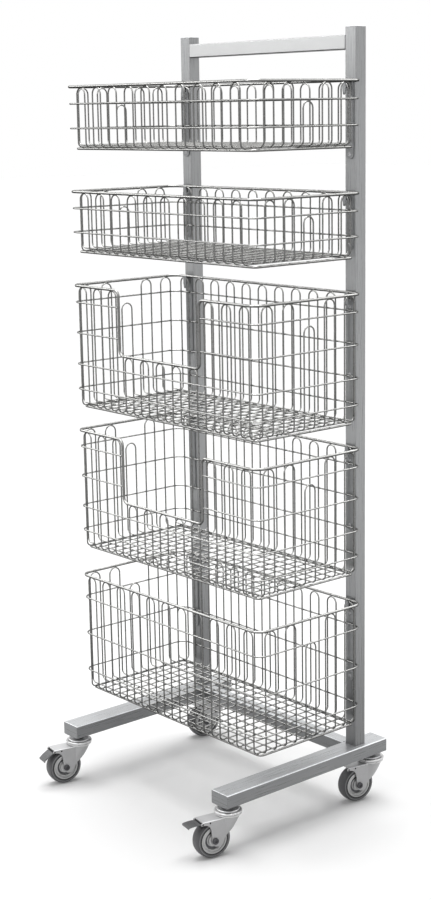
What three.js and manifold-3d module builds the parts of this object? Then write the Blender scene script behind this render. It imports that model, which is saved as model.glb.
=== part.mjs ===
// Mobile rack: two square posts on two long feet with four swivel casters, and five
// welded wire baskets that hang on brackets on the fronts of the posts.
// Millimetres. X is the rack's width, Y its depth (the baskets are in front, at -Y), Z is up.
import * as THREE from 'three';
import { mergeVertices, toCreasedNormals } from 'three/addons/utils/BufferGeometryUtils.js';
import Module from 'manifold-3d';

const wasm = await Module();
wasm.setup();
const { Manifold, Mesh: SolidMesh } = wasm;

// Frame
const rackHeight = 1680;
const postSpacing = 528;
const postWidth = 31.5;
const postDepth = 30;
const tubeWall = 2;
const tubeCorner = 2.5;
const capThickness = 2;
const capInsert = 9;
const weldGap = 0.1;
const fitGap = 0.3;
const footWidth = 51;
const footHeight = 30;
const footFront = 382.6;
const footBack = 88.7;
const topBarDrop = 15.6;
const topBarHeight = 30;

// Brackets
const bracketWidth = 21;
const bracketThickness = 2.5;
const bracketRise = 4;
const bracketLengthShallow = 118;
const bracketLengthDeep = 184;
// The top bracket runs on past its basket by this share of the gap below it
const bracketTailShare = 0.28;
const armWidth = 10;
const armThickness = 2.5;
const armStepDrop = 13.5;
const armOffsetShallow = -5.2;
const armOffsetDeep = 1;
const tabThickness = 2;
const tabDrop = 25;
const tabTipRadius = 3.2;

// Baskets: sizes to the middle of the rim wire
const basketOverhang = 41.8;
const basketDepth = 299.5;
const rimCorner = 24;
const rimRadius = 3;
const midRadius = 1.75;
const bottomRadius = 2.6;
const legRadius = 1.6;
const bottomInset = 14.6;
const weldBite = 0.6;
const archTuck = 0.2;
const shallowDepth = 132;
const deepDepth = 273;
const topRimDrop = 107.5;
// Shares of the free height that lie below each basket, from the top one down
const gapShares = [0.2642, 0.2114, 0.1557, 0.1895, 0.1792];
// Places of the middle rings below the rim, as shares of the basket's depth
const shallowRingShares = [0.273, 0.67];
const deepRingShares = [0.1355, 0.3865, 0.6447, 0.8498];
const lowestRingShares = [0.196, 0.5117, 0.8359];
const shallowLoops = 10;
const deepLoops = 11;
const sideLoopCount = 5;
// From the middle of a post to the middle of the outermost loop
const shallowLoopOffset = -11.1;
const deepLoopOffset = 6;
const shallowSideMargin = 32.3;
const deepSideMargin = 20.6;
const shallowGripDrop = 40;
const deepGripDrop = 53;
const cutDepth = 142;
const cutLoops = 5;
const cutCorner = 13;

// Casters
const casterInsetFront = 23.4;
const casterInsetRear = 25.5;
const casterTurn = -11.5;
const wheelRadius = 40;
const wheelWidth = 28;
const tyreThickness = 10;
const trail = 41;
const wheelGap = 1.6;
const wheelClearance = 6.5;
const forkThickness = 2.3;
const bowlRadius = 28.8;
const bowlHeight = 4;
const raceRadius = 29.9;
const raceHeight = 5.5;
const discRadius = 25.5;
const discHeight = 3.4;
const nutRadius = 11;
const nutHeight = 7.7;
const stemRadius = 6;
const stemInside = 9;
const pinRadius = 5;
const pinFlangeRadius = 9;
const pinFlangeHeight = 3;
const axleRadius = 4;
const axleHeadRadius = 7;
const axleHeadHeight = 4;
const hubBoss = 11;
const bossRadius = 13.5;
// The rounded end of each leg lies forward of the axle
const bossForward = 6.5;
// Where the front wall leaves the side plates, and the room that it leaves round the wheel
const wallCrease = 17;
const wallRoom = 3.5;
const pivotRadius = 1.8;
const pivotDrop = 5.3;
const pivotRim = 4;
const brakeGap = 9.8;
const pedalGap = 0.8;
const pedalLength = 31;
const pedalThickness = 2.2;
const pedalBarrel = 2.4;
const pedalLip = 3;
const pedalHook = 1;
const brakeReach = 9.2;
const brakeTurn = 34;
const pedalDroop = 2;

// Shares of the pieces' own sizes
const bowlFootShare = 0.86;
const raceShoulderShare = 0.7;
const tyreBeadShare = 0.8;
const tyreShoulderShare = 0.93;
const tyreTreadShare = 0.55;
const hubStepShare = 1.15;
const hubWebShare = 0.5;
const hubRimShare = 0.75;
const crossingShare = 1.5;
const shoeRootShare = 0.8;
const shoeWidthShare = 0.7;
// Levels of the fork's front wall: height as a share of the fork's, and the way from the swivel axis
// to the level's centre as a share of the way to the crease
const wallShares = [[0.987, 0], [0.751, 0.6], [0.532, 1]];
// Height of the wall's lower edge under the bowl's front
const wallFrontShare = 0.9;
// The rear edge of its legs, as shares of the way from the axle to the fork's end and of the fork's height
const forkRearShares = [[0.234, 0.636], [0.281, 0.775], [0.375, 0.844], [0.594, 0.902], [1, 0.919]];

// Sizes that follow from those above
const basketWidth = postSpacing + 2 * basketOverhang;
const forkInside = wheelWidth / 2 + wheelGap;
const forkTop = 2 * wheelRadius + wheelClearance;
const bowlTop = forkTop + bowlHeight;
const footLow = bowlTop + fitGap + raceHeight + discHeight + nutHeight + weldGap;
const footTop = footLow + footHeight;
const casterFrontY = casterInsetFront - footFront;
const casterRearY = footBack - casterInsetRear;
const pedalWidth = 2 * (forkInside - pedalGap);
const pedalPivotZ = forkTop - pivotDrop;
const pedalPivotY = -trail - Math.sqrt((wheelRadius + brakeGap) ** 2 - (pedalPivotZ - wheelRadius) ** 2);
const forkEnd = pivotRim - pedalPivotY;
const depths = [shallowDepth, shallowDepth, deepDepth, deepDepth, deepDepth];
const freeHeight = rackHeight - topRimDrop - footTop - depths.reduce((sum, depth) => sum + depth, 0);
const rimHeights = [rackHeight - topRimDrop];
for (const level of [0, 1, 2, 3]) {
  rimHeights.push(rimHeights[level] - depths[level] - gapShares[level] * freeHeight);
}

// Facets
const headFacets = 12;
const wheelFacets = 16;
const boltFacets = 8;
const holeFacets = 6;
const bossSegments = 6;
const archSegments = 3;
// Lifts the flat top of an arch with an odd number of facets to its true height
const archLift = 1 / Math.cos(Math.PI / (2 * archSegments));
const cornerSegments = 2;
const tubeCornerSegments = 1;
const tipSegments = 3;
const legSides = 3;
const midSides = 3;
const bottomSides = 4;
const rimSides = 6;
// Share by which a few-sided wire is drawn larger, so that it keeps its weight
const legShare = 1.3;
const midShare = 1.3;
const rimShare = 1.1;

const steel = { color: 0x9fa2a3, roughness: 0.42, metalness: 0.85 };
const wireSteel = { color: 0xb4b4b2, roughness: 0.3, metalness: 0.95 };
const zinc = { color: 0xb9bbbb, roughness: 0.35, metalness: 0.85 };
const plastic = { color: 0x8b8d8e, roughness: 0.6, metalness: 0 };
const rubber = { color: 0x5c5d5f, roughness: 0.8, metalness: 0 };
const darkSteel = { color: 0x6f7172, roughness: 0.4, metalness: 0.8 };

const group = new THREE.Group();

function solidOf(geometry) {
  const bare = new THREE.BufferGeometry();
  bare.setAttribute('position', geometry.getAttribute('position').clone());
  if (geometry.index) bare.setIndex(geometry.index.clone());
  const merged = mergeVertices(bare, 1e-4);
  return new Manifold(new SolidMesh({
    numProp: 3,
    vertProperties: new Float32Array(merged.getAttribute('position').array),
    triVerts: new Uint32Array(merged.index.array),
  }));
}

function geometryOf(solid) {
  const mesh = solid.getMesh();
  const geometry = new THREE.BufferGeometry();
  const points = new Float32Array(mesh.numVert * 3);
  for (let i = 0; i < mesh.numVert; i += 1) {
    for (let k = 0; k < 3; k += 1) points[i * 3 + k] = mesh.vertProperties[i * mesh.numProp + k];
  }
  geometry.setAttribute('position', new THREE.BufferAttribute(points, 3));
  geometry.setIndex(new THREE.BufferAttribute(new Uint32Array(mesh.triVerts), 1));
  return geometry;
}

function add(name, solid, look) {
  const geometry = toCreasedNormals(geometryOf(solid), Math.PI / 5);
  const mesh = new THREE.Mesh(geometry, new THREE.MeshStandardMaterial(look));
  mesh.name = name;
  group.add(mesh);
}

// A block between two corners
function block(low, high) {
  const geometry = new THREE.BoxGeometry(high[0] - low[0], high[1] - low[1], high[2] - low[2]);
  geometry.translate((low[0] + high[0]) / 2, (low[1] + high[1]) / 2, (low[2] + high[2]) / 2);
  return solidOf(geometry);
}

// A solid of revolution about Z from (radius, height) points
function turned(profile, facets) {
  const geometry = new THREE.LatheGeometry(profile.map(([r, z]) => new THREE.Vector2(r, z)), facets);
  geometry.rotateX(Math.PI / 2);
  return solidOf(geometry);
}

function rod(radius, from, to, facets) {
  return turned([[0, from], [radius, from], [radius, to], [0, to]], facets);
}

// Lays a solid that was made about Z along X
function alongX(solid) {
  return solid.rotate([0, 90, 0]);
}

// An outline of (y, z) points made into a plate between two x values
function sidePlate(outline, fromX, toX) {
  const shape = new THREE.Shape(outline.map(([y, z]) => new THREE.Vector2(y, z)));
  const geometry = new THREE.ExtrudeGeometry(shape, { depth: toX - fromX, bevelEnabled: false });
  geometry.rotateY(Math.PI / 2);
  geometry.rotateX(Math.PI / 2);
  geometry.translate(fromX, 0, 0);
  return solidOf(geometry);
}

// An outline of (x, z) points made into a plate between two y values
function frontPlate(outline, fromY, toY) {
  const shape = new THREE.Shape(outline.map(([x, z]) => new THREE.Vector2(x, z)));
  const geometry = new THREE.ExtrudeGeometry(shape, { depth: toY - fromY, bevelEnabled: false });
  geometry.rotateX(Math.PI / 2);
  geometry.translate(0, toY, 0);
  return solidOf(geometry);
}

// Points on an arc, in degrees
function arc(x, z, radius, from, to, steps) {
  const points = [];
  for (let i = 0; i <= steps; i += 1) {
    const angle = THREE.MathUtils.degToRad(from + ((to - from) * i) / steps);
    points.push([x + radius * Math.cos(angle), z + radius * Math.sin(angle)]);
  }
  return points;
}

function roundedOutline(width, depth, corner) {
  const x = width / 2 - corner;
  const y = depth / 2 - corner;
  return [
    ...arc(x, -y, corner, -90, 0, tubeCornerSegments), ...arc(x, y, corner, 0, 90, tubeCornerSegments),
    ...arc(-x, y, corner, 90, 180, tubeCornerSegments),
    ...arc(-x, -y, corner, 180, 270, tubeCornerSegments),
  ].map(([a, b]) => new THREE.Vector2(a, b));
}

// A hollow rectangular tube along Z, centred on X and Y
function tube(width, depth, length) {
  const shape = new THREE.Shape(roundedOutline(width, depth, tubeCorner));
  const hollow = roundedOutline(width - 2 * tubeWall, depth - 2 * tubeWall, tubeCorner / 2);
  shape.holes.push(new THREE.Path(hollow));
  return solidOf(new THREE.ExtrudeGeometry(shape, { depth: length, bevelEnabled: false }));
}

// A cap with a plate at Z from 0 to its thickness and an insert below it
function tubeCap(width, depth) {
  const plate = new THREE.Shape(roundedOutline(width, depth, tubeCorner));
  const top = new THREE.ExtrudeGeometry(plate, { depth: capThickness, bevelEnabled: false });
  const inside = 2 * (tubeWall + fitGap);
  const plug = new THREE.Shape(roundedOutline(width - inside, depth - inside, tubeCorner / 2));
  const insert = new THREE.ExtrudeGeometry(plug, { depth: capInsert + capThickness / 2, bevelEnabled: false });
  insert.translate(0, 0, -capInsert);
  return solidOf(top).add(solidOf(insert));
}

// Posts, feet, rail and top bar
function postSide(sign, side) {
  const x = (sign * postSpacing) / 2;
  const top = rackHeight - capThickness - weldGap;
  const bottom = footTop + weldGap;
  const post = tube(postWidth, postDepth, top - bottom);
  add(`post_${side}`, post.translate([x, postDepth / 2, bottom]), steel);
  const cap = tubeCap(postWidth, postDepth);
  add(`post_cap_${side}`, cap.translate([x, postDepth / 2, rackHeight - capThickness]), steel);
}

function foot(sign, side) {
  const x = (sign * postSpacing) / 2;
  const middle = footTop - footHeight / 2;
  const start = -footFront + capThickness + weldGap;
  const length = footFront + footBack - 2 * (capThickness + weldGap);
  let beam = tube(footWidth, footHeight, length).rotate([-90, 0, 0]).translate([x, start, middle]);
  for (const y of [casterFrontY, casterRearY]) {
    const hole = rod(stemRadius + fitGap, footTop - 2 * footHeight, middle, headFacets);
    beam = beam.subtract(hole.translate([x, y, 0]));
  }
  add(`foot_${side}`, beam, steel);
  const cap = tubeCap(footWidth, footHeight);
  const front = -footFront + capThickness;
  add(`foot_cap_front_${side}`, cap.rotate([90, 0, 0]).translate([x, front, middle]), steel);
  const back = footBack - capThickness;
  add(`foot_cap_rear_${side}`, cap.rotate([-90, 0, 0]).translate([x, back, middle]), steel);
}

function crossTubes() {
  const railLength = postSpacing - footWidth - 2 * weldGap;
  const rail = tube(footHeight, postDepth, railLength).rotate([0, 90, 0]);
  add('base_rail', rail.translate([-railLength / 2, postDepth / 2, footTop - footHeight / 2]), steel);
  const barLength = postSpacing - postWidth - 2 * weldGap;
  const bar = tube(topBarHeight, postDepth, barLength).rotate([0, 90, 0]);
  const barMiddle = rackHeight - topBarDrop - topBarHeight / 2;
  add('top_bar', bar.translate([-barLength / 2, postDepth / 2, barMiddle]), steel);
}

// Brackets on the posts
function bracketLength(level) {
  if (level === 0) return shallowDepth + bracketTailShare * gapShares[level] * freeHeight;
  return level === 1 ? bracketLengthShallow : bracketLengthDeep;
}

function bracket(level, sign, side) {
  const x = (sign * postSpacing) / 2;
  const rim = rimHeights[level];
  const low = rim - bracketLength(level);
  const half = bracketWidth / 2;
  const back = -weldGap;
  const face = back - bracketThickness;
  const strip = frontPlate([
    ...arc(x, low + half, half, 180, 360, tipSegments), [x + half, rim + bracketRise],
    [x - half, rim + bracketRise],
  ], face, back);
  const armX = x + sign * (level < 2 ? armOffsetShallow : armOffsetDeep);
  const seat = rim - rimRadius * rimShare - fitGap;
  const step = rim - armStepDrop;
  const stepY = legPlaneY + 2 * weldShift + legWire + fitGap;
  const tabBack = legPlaneY - legWire - fitGap;
  const tabFront = tabBack - tabThickness;
  const arm = sidePlate([
    [face + weldGap, seat], [stepY, seat], [stepY, step], [tabBack, step], [tabBack, step - armThickness],
    [face + weldGap, step - armThickness],
  ], armX - armWidth / 2, armX + armWidth / 2);
  const tip = rim - tabDrop;
  const tab = frontPlate([
    ...arc(armX, tip, tabTipRadius, 180, 360, tipSegments),
    [armX + armWidth / 2, step - armThickness], [armX + armWidth / 2, rim], [armX - armWidth / 2, rim],
    [armX - armWidth / 2, step - armThickness],
  ], tabFront, tabBack + weldGap);
  add(`bracket_${level + 1}_${side}`, strip.add(arm).add(tab), zinc);
}

// Wires: a station is a point of the wire's middle line and the way that faces out there
function wire(stations, radius, sides, closed) {
  const points = [];
  const faces = [];
  const count = stations.length;
  for (let i = 0; i < count; i += 1) {
    const { at, out } = stations[i];
    const before = stations[closed ? (i + count - 1) % count : Math.max(i - 1, 0)].at;
    const after = stations[closed ? (i + 1) % count : Math.min(i + 1, count - 1)].at;
    const arriving = at.clone().sub(before).normalize();
    const leaving = after.clone().sub(at).normalize();
    if (arriving.lengthSq() === 0) arriving.copy(leaving);
    if (leaving.lengthSq() === 0) leaving.copy(arriving);
    const along = arriving.clone().add(leaving).normalize();
    const normal = out.clone().addScaledVector(along, -out.dot(along)).normalize();
    const side = along.clone().cross(normal);
    const bend = leaving.clone().sub(arriving);
    const stretch = bend.lengthSq() > 1e-9 ? 1 / along.dot(leaving) - 1 : 0;
    bend.normalize();
    for (let k = 0; k < sides; k += 1) {
      const angle = (2 * Math.PI * k) / sides;
      const offset = normal.clone().multiplyScalar(radius * Math.cos(angle));
      offset.addScaledVector(side, radius * Math.sin(angle));
      offset.addScaledVector(bend, offset.dot(bend) * stretch);
      offset.add(at);
      points.push(offset.x, offset.y, offset.z);
    }
  }
  const spans = closed ? count : count - 1;
  for (let i = 0; i < spans; i += 1) {
    const here = i * sides;
    const next = ((i + 1) % count) * sides;
    for (let k = 0; k < sides; k += 1) {
      const turn = (k + 1) % sides;
      faces.push(here + k, here + turn, next + turn, here + k, next + turn, next + k);
    }
  }
  if (!closed) {
    const last = (count - 1) * sides;
    for (let k = 1; k < sides - 1; k += 1) {
      faces.push(0, k + 1, k, last, last + k, last + k + 1);
    }
  }
  const geometry = new THREE.BufferGeometry();
  geometry.setAttribute('position', new THREE.Float32BufferAttribute(points, 3));
  geometry.setIndex(faces);
  return solidOf(geometry);
}

const legWire = legRadius * legShare;
const midWire = midRadius * midShare;
const rimWire = rimRadius * rimShare;
const bottomWire = bottomRadius * rimShare;
const rimY = -weldGap - bracketThickness - fitGap - rimWire;
const basketMiddleY = rimY - basketDepth / 2;
const legInset = rimWire + legWire + fitGap;
const legPlaneY = rimY - legInset;
// The loops lean back by this much to reach the rim, and as much again to reach the other rings
const weldShift = fitGap + weldBite;
const midInset = legInset - weldShift - legWire - midWire - fitGap;

function station(x, y, z, outX, outY, outZ) {
  return { at: new THREE.Vector3(x, y, z), out: new THREE.Vector3(outX, outY, outZ) };
}

// Corner stations of a level ring, from the front left corner round by the right.
// facing is 1 where the wire's first edge points out, -1 where it points in at the loops.
function ringStations(inset, z, facing) {
  const corner = rimCorner - inset;
  const halfX = basketWidth / 2 - rimCorner;
  const halfY = basketDepth / 2 - rimCorner;
  const corners = [[-halfX, -halfY, 180], [halfX, -halfY, 270], [halfX, halfY, 0], [-halfX, halfY, 90]];
  return corners.map(([cx, cy, start]) => arc(cx, cy, corner, start, start + 90, cornerSegments)
    .map(([x, y]) => station(x, y, z, facing * (x - cx), facing * (y - cy), 0)));
}

// The bend of the rim down, along and up again in the front wall
const cutWidth = (2 * cutLoops * (postSpacing / 2 + deepLoopOffset)) / (deepLoops - 1);

function cutStations(rim) {
  const y = -basketDepth / 2;
  const left = -cutWidth / 2;
  const low = rim - cutDepth;
  const half = [
    ...arc(left - cutCorner, rim - cutCorner, cutCorner, 90, 0, cornerSegments),
    ...arc(left + cutCorner, low + cutCorner, cutCorner, 180, 270, cornerSegments),
  ];
  const other = half.map(([x, z]) => [-x, z]).reverse();
  return [...half, ...other].map(([x, z]) => station(x, y, z, 0, -1, 0));
}

function ring(inset, z, radius, sides, cutRim, facing = 1) {
  const [frontLeft, ...others] = ringStations(inset, z, facing);
  const rest = others.flat();
  if (cutRim === undefined) return wire([...frontLeft, ...rest], radius, sides, true);
  if (z === cutRim) return wire([...frontLeft, ...cutStations(cutRim), ...rest], radius, sides, true);
  // a ring that ends in the upright parts of the bent rim
  const y = -basketDepth / 2 + inset;
  const open = [
    station(cutWidth / 2, y, z, 0, -facing, 0), ...rest, ...frontLeft,
    station(-cutWidth / 2, y, z, 0, -facing, 0),
  ];
  return wire(open, radius, sides, false);
}

// One wire loop: a hairpin up one wall, two wires across the floor, a hairpin up the other wall.
// place turns (along the wall, through the basket, up) into x, y, z.
function hairpin(middle, gap, reach, floor, topA, topB, place) {
  const half = gap / 2;
  const list = [];
  const put = (u, s, z, outS, outZ) => list.push({
    at: place(middle + u, s, z), out: place(0, outS, outZ).sub(place(0, 0, 0)),
  });
  for (const [u, z] of arc(0, 0, half, 180, 0, archSegments)) put(u, -reach, topA - half + z * archLift, -1, 0);
  put(half, -reach, floor, -1, -1);
  put(half, reach, floor, 1, -1);
  for (const [u, z] of arc(0, 0, half, 0, 180, archSegments)) put(u, reach, topB - half + z * archLift, 1, 0);
  put(-half, reach, floor, 1, -1);
  put(-half, -reach, floor, -1, -1);
  return wire(list, legWire, legSides, true);
}

// The loops that rise in the front and back walls
function frontLoops(count, offset, rim, floor, cut) {
  const reach = basketDepth / 2 - legInset;
  const gap = (postSpacing / 2 + offset) / (count - 1);
  const placeAt = (shift) => (u, s, z) => new THREE.Vector3(u, s + shift, z);
  const loops = [];
  for (let i = 0; i < count; i += 1) {
    const middle = (i - (count - 1) / 2) * 2 * gap;
    const under = cut && Math.abs(middle) < cutWidth / 2;
    const place = placeAt(i === 0 ? 2 * weldShift : weldShift);
    const drop = i === 0 ? weldShift : 0;
    const top = rim - archTuck;
    loops.push(hairpin(
      middle, gap, reach, floor - drop, under ? top - cutDepth : top, top, place,
    ));
  }
  return loops;
}

// The loops that rise in the two side walls, the middle one lower as a grip
function sideLoops(margin, rim, floor, gripDrop) {
  const reach = basketWidth / 2 - legInset;
  const gap = (basketDepth - 2 * margin) / (2 * sideLoopCount - 1);
  const placeAt = (shift) => (u, s, z) => new THREE.Vector3(s + shift, u, z);
  const loops = [];
  for (let i = 0; i < sideLoopCount; i += 1) {
    const middle = (i - (sideLoopCount - 1) / 2) * 2 * gap;
    const grip = i === (sideLoopCount - 1) / 2;
    const top = rim - (grip ? gripDrop : archTuck);
    const place = placeAt(grip ? 2 * weldShift : weldShift);
    loops.push(hairpin(middle, gap, reach, floor, top, top, place));
  }
  return loops;
}

function basket(level) {
  const rim = rimHeights[level];
  const shallow = level < 2;
  const cut = level === 2 || level === 3;
  const depth = depths[level];
  const bottom = rim - depth;
  const floor = bottom + bottomWire + legWire + fitGap;
  const crossing = floor + legWire * crossingShare + fitGap;
  const deepShares = level === 4 ? lowestRingShares : deepRingShares;
  const mids = (shallow ? shallowRingShares : deepShares).map((share) => share * depth);
  const parts = [
    ring(0, rim, rimWire, rimSides, cut ? rim : undefined),
    ring(bottomInset, bottom, bottomWire, bottomSides),
    ...mids.map((drop) => (
      ring(midInset, rim - drop, midWire, midSides, cut && drop < cutDepth ? rim : undefined, -1)
    )),
    ...(shallow ? frontLoops(shallowLoops, shallowLoopOffset, rim, floor, cut)
      : frontLoops(deepLoops, deepLoopOffset, rim, floor, cut)),
    ...(shallow ? sideLoops(shallowSideMargin, rim, crossing, shallowGripDrop)
      : sideLoops(deepSideMargin, rim, crossing, deepGripDrop)),
  ];
  const body = Manifold.union(parts).translate([0, basketMiddleY, 0]);
  add(`basket_${level + 1}`, body, wireSteel);
}

// Casters, made about the swivel axis with the wheel trailing towards -Y
function casterHead() {
  const raceLow = bowlTop + fitGap;
  const raceTop = raceLow + raceHeight;
  const discTop = raceTop + discHeight;
  const nutTop = footLow - weldGap;
  const flangeTop = forkTop - forkThickness - fitGap;
  return turned([
    [0, flangeTop - pinFlangeHeight], [pinFlangeRadius, flangeTop - pinFlangeHeight],
    [pinFlangeRadius, flangeTop], [pinRadius, flangeTop], [pinRadius, raceLow],
    [raceRadius, raceLow], [raceRadius, raceLow + raceHeight * raceShoulderShare], [discRadius, raceTop],
    [discRadius, discTop], [nutRadius, discTop], [nutRadius, nutTop], [stemRadius, nutTop],
    [stemRadius, nutTop + stemInside], [0, nutTop + stemInside],
  ], headFacets);
}

function forkSide(fromX, toX) {
  const wallEdge = wallCrease - forkThickness / 2;
  const axleY = -trail;
  const way = forkEnd - trail;
  return sidePlate([
    ...wallShares.map(([up, back]) => [wallEdge * (1 - 2 * back), forkTop * up]),
    ...arc(axleY + bossForward, wheelRadius, bossRadius, -15, -185, bossSegments),
    ...forkRearShares.map(([y, z]) => [axleY - way * y, forkTop * z]), [-forkEnd, forkTop],
  ], fromX, toX);
}

// The space inside a wall whose every level is a circle through the creases
function wallSpace(outer, thickness) {
  const levels = wallShares.map(([up, back]) => {
    const middle = -wallCrease * back;
    const radius = Math.hypot(outer, wallCrease + middle) - thickness;
    return arc(middle, 0, radius, 0, 360, headFacets).slice(1).map(([y, x]) => [x, y, forkTop * up]);
  });
  return Manifold.union([0, 1].map((i) => Manifold.hull([...levels[i], ...levels[i + 1]])));
}

// The legs and the pressed front, which narrows from the bowl down to the width across the legs
function forkShell(outer) {
  const low = forkTop * wallShares.at(-1)[0];
  const front = sidePlate([
    [-wallCrease, low], [bowlRadius, forkTop * wallFrontShare], [bowlRadius, forkTop], [-wallCrease, forkTop],
  ], -bowlRadius, bowlRadius);
  const room = alongX(rod(wheelRadius + wallRoom, -forkInside, forkInside, headFacets * 2));
  const shell = Manifold.union([
    forkSide(-outer, -forkInside), forkSide(forkInside, outer), wallSpace(outer, 0).intersect(front),
  ]);
  const hollow = wallSpace(outer, forkThickness).intersect(front);
  return shell.subtract(hollow).subtract(room.translate([0, -trail, wheelRadius]));
}

function casterFork() {
  const outer = forkInside + forkThickness;
  const top = block([-outer, -forkEnd, forkTop - forkThickness], [outer, 0, forkTop]);
  const bowl = turned([
    [0, forkTop - forkThickness], [bowlRadius * bowlFootShare, forkTop - forkThickness],
    [bowlRadius, forkTop], [bowlRadius, bowlTop], [0, bowlTop],
  ], headFacets);
  let fork = Manifold.union([top, bowl, forkShell(outer)]);
  fork = fork.subtract(rod(pinRadius + fitGap * 2, 0, rackHeight, headFacets));
  const bore = rod(axleRadius + fitGap, -footWidth, footWidth, boltFacets);
  fork = fork.subtract(alongX(bore).translate([0, -trail, wheelRadius]));
  return fork;
}

function casterTyre() {
  const half = wheelWidth / 2;
  const inner = wheelRadius - tyreThickness;
  return alongX(turned([
    [inner, -half * tyreBeadShare], [wheelRadius * tyreShoulderShare, -half],
    [wheelRadius, -half * tyreTreadShare], [wheelRadius, half * tyreTreadShare],
    [wheelRadius * tyreShoulderShare, half], [inner, half * tyreBeadShare], [inner, -half * tyreBeadShare],
  ], wheelFacets)).translate([0, -trail, wheelRadius]);
}

function casterHub() {
  const half = wheelWidth / 2;
  const outer = wheelRadius - tyreThickness - fitGap;
  const side = [
    [axleRadius + fitGap, half], [hubBoss, half], [hubBoss * hubStepShare, half * hubWebShare],
    [outer, half * hubRimShare],
  ];
  const other = side.map(([r, x]) => [r, -x]).reverse();
  return alongX(turned([...side, ...other, side[0]].reverse(), wheelFacets)).translate([0, -trail, wheelRadius]);
}

function casterAxle() {
  const out = forkInside + forkThickness + fitGap;
  return alongX(turned([
    [0, -out - axleHeadHeight], [axleHeadRadius, -out - axleHeadHeight], [axleHeadRadius, -out],
    [axleRadius, -out], [axleRadius, out], [axleHeadRadius, out],
    [axleHeadRadius, out + axleHeadHeight], [0, out + axleHeadHeight],
  ], boltFacets)).translate([0, -trail, wheelRadius]);
}

// The brake pedal in its raised place: a plate out past the fork, and a shoe that
// swings on to the tyre when the plate is trodden down by its turn
function brakePedal(down) {
  const half = pedalWidth / 2;
  const droop = THREE.MathUtils.degToRad(pedalDroop);
  const sink = pedalLength * Math.tan(droop);
  const plate = sidePlate([
    [0, pedalThickness / 2], [-pedalLength, pedalThickness / 2 - sink],
    [-pedalLength - pedalHook, -pedalLip - sink],
    [-pedalLength + pedalThickness - pedalHook, -pedalLip - sink],
    [-pedalLength + pedalThickness, -pedalThickness / 2 - sink], [0, -pedalThickness / 2],
  ], -half, half);
  const shoe = sidePlate([
    [-pedalBarrel * shoeRootShare, 0], [-pedalThickness / 2, -brakeReach],
    [pedalThickness / 2, -brakeReach], [pedalBarrel * shoeRootShare, 0],
  ], -half * shoeWidthShare, half * shoeWidthShare);
  const barrel = alongX(rod(pedalBarrel, -half, half, holeFacets));
  const pivotHalf = forkInside - fitGap;
  const pivot = alongX(rod(pivotRadius, -pivotHalf, pivotHalf, holeFacets));
  const pedal = Manifold.union([plate, shoe, barrel, pivot]);
  return pedal.rotate([down ? brakeTurn : 0, 0, 0]).translate([0, pedalPivotY, pedalPivotZ]);
}

function caster(sign, y, name) {
  const seat = (solid) => solid.rotate([0, 0, casterTurn]).translate([(sign * postSpacing) / 2, y, 0]);
  add(`caster_head_${name}`, seat(casterHead()), zinc);
  add(`caster_fork_${name}`, seat(casterFork()), zinc);
  add(`wheel_tyre_${name}`, seat(casterTyre()), rubber);
  add(`wheel_hub_${name}`, seat(casterHub()), plastic);
  add(`axle_bolt_${name}`, seat(casterAxle()), darkSteel);
  if (y === casterFrontY) add(`brake_pedal_${name}`, seat(brakePedal(sign < 0)), darkSteel);
}

for (const [sign, side] of [[-1, 'left'], [1, 'right']]) {
  postSide(sign, side);
  foot(sign, side);
  for (const level of rimHeights.keys()) bracket(level, sign, side);
  caster(sign, casterFrontY, `front_${side}`);
  caster(sign, casterRearY, `rear_${side}`);
}
crossTubes();
for (const level of rimHeights.keys()) basket(level);

// Sets the rack down with the middle of its outline's base on the origin
const outline = new THREE.Box3().setFromObject(group);
const middle = outline.getCenter(new THREE.Vector3());
for (const mesh of group.children) mesh.geometry.translate(-middle.x, -middle.y, -outline.min.z);

export default group;
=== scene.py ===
# Looks of the mobile rack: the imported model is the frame, and each piece built here rides on its bodies.
import math

import bmesh
import bpy
from mathutils import Matrix, Vector


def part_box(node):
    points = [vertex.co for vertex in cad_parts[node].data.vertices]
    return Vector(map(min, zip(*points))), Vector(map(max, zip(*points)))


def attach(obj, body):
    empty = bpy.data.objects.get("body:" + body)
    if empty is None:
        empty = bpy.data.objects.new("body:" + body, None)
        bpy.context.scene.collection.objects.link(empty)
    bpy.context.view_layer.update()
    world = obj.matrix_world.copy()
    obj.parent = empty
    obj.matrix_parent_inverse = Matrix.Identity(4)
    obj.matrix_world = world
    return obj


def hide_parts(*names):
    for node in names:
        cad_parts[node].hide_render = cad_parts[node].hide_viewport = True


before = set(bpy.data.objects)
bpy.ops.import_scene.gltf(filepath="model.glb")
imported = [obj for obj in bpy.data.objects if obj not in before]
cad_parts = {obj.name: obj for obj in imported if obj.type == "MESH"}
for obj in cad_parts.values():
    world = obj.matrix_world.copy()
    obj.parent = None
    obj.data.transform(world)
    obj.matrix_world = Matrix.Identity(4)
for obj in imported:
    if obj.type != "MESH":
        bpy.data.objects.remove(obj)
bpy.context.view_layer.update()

MM = 0.001
SIDES = (("left", -1), ("right", 1))
# The part's own coordinates have the fronts of the posts at Y 0; in the frame they are further back
FRONT_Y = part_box("post_left")[0].y / MM

# Sizes in millimetres, as in the part
POST_X = 264
POST_WIDTH, POST_DEPTH, RACK_HEIGHT = 31.5, 30, 1680
FOOT_WIDTH, FOOT_HEIGHT, FOOT_TOP = 51, 30, 137.5
FOOT_FRONT, FOOT_BACK = -382.6, 88.7
TUBE_CORNER, LEAST_CORNER, CAP = 2.6, 0.4, 2
POST_CAP_EDGE, FOOT_CAP_EDGE = 1.2, 1.3
BAR_MIDDLE, BAR_HEIGHT = 1649.4, 30
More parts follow.
